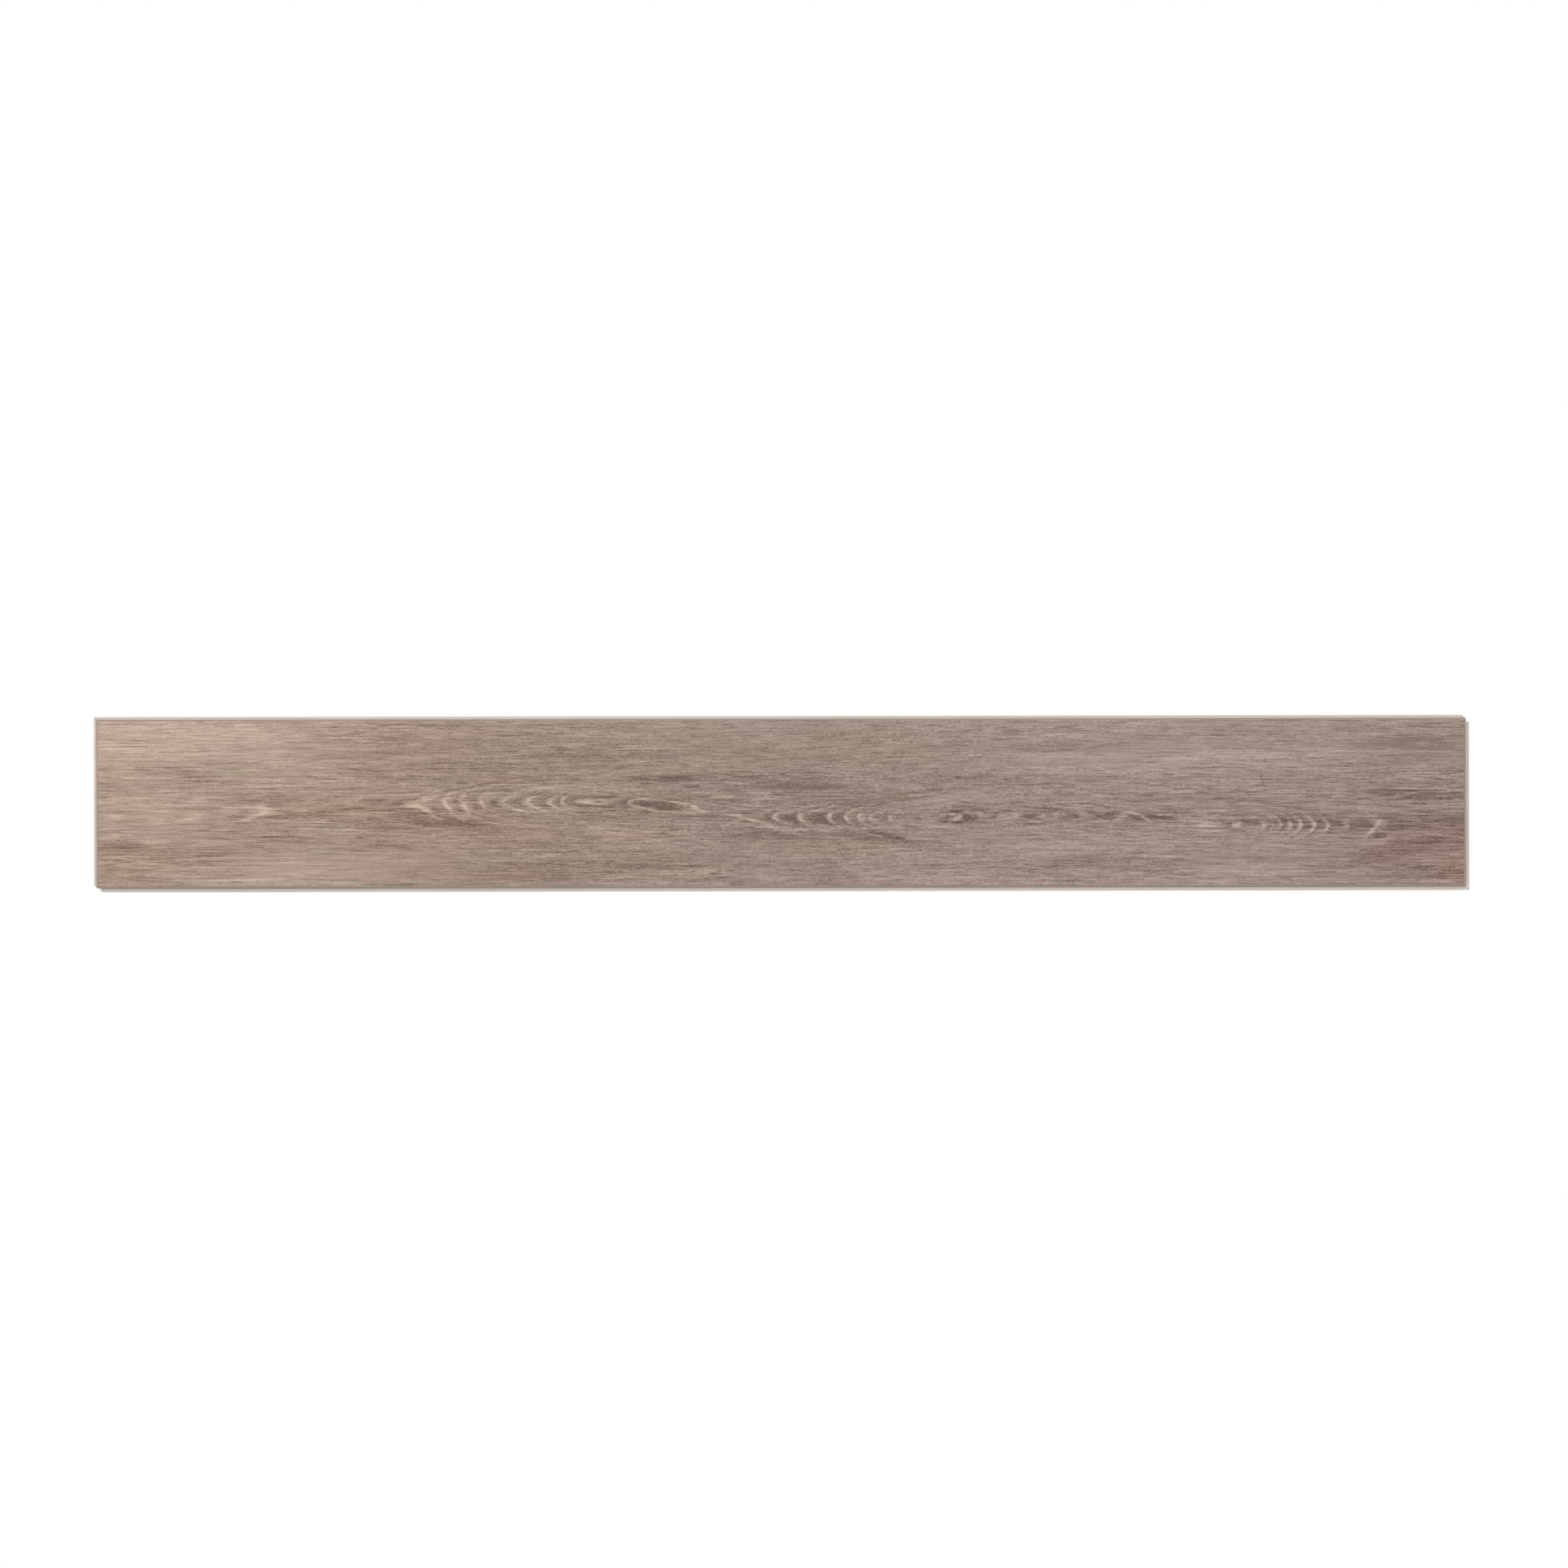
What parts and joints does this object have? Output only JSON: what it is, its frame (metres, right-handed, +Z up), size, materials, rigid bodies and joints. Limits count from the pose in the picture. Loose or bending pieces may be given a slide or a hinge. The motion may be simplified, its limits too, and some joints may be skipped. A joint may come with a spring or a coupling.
{
  "type": "rigid core vinyl plank",
  "caption": "Flat rigid core vinyl floor plank with a limed oak decor face, a micro-bevel round it, and a click tongue and groove on its four edges.",
  "frame": {"origin": "on the underside, below the centre of the visible face", "axes": "+X along the plank towards the short groove edge, +Y across it towards the long tongue edge, +Z up out of the decor face"},
  "size_m": [1.2258, 0.1558, 0.005],
  "materials": {
    "oak_decor_vinyl": "matt, greige limed oak grain on the face, light grey mineral core on the milled edges and underside"
  },
  "bodies": {
    "root": {"plank": "oak_decor_vinyl"}
  },
  "joints": []
}
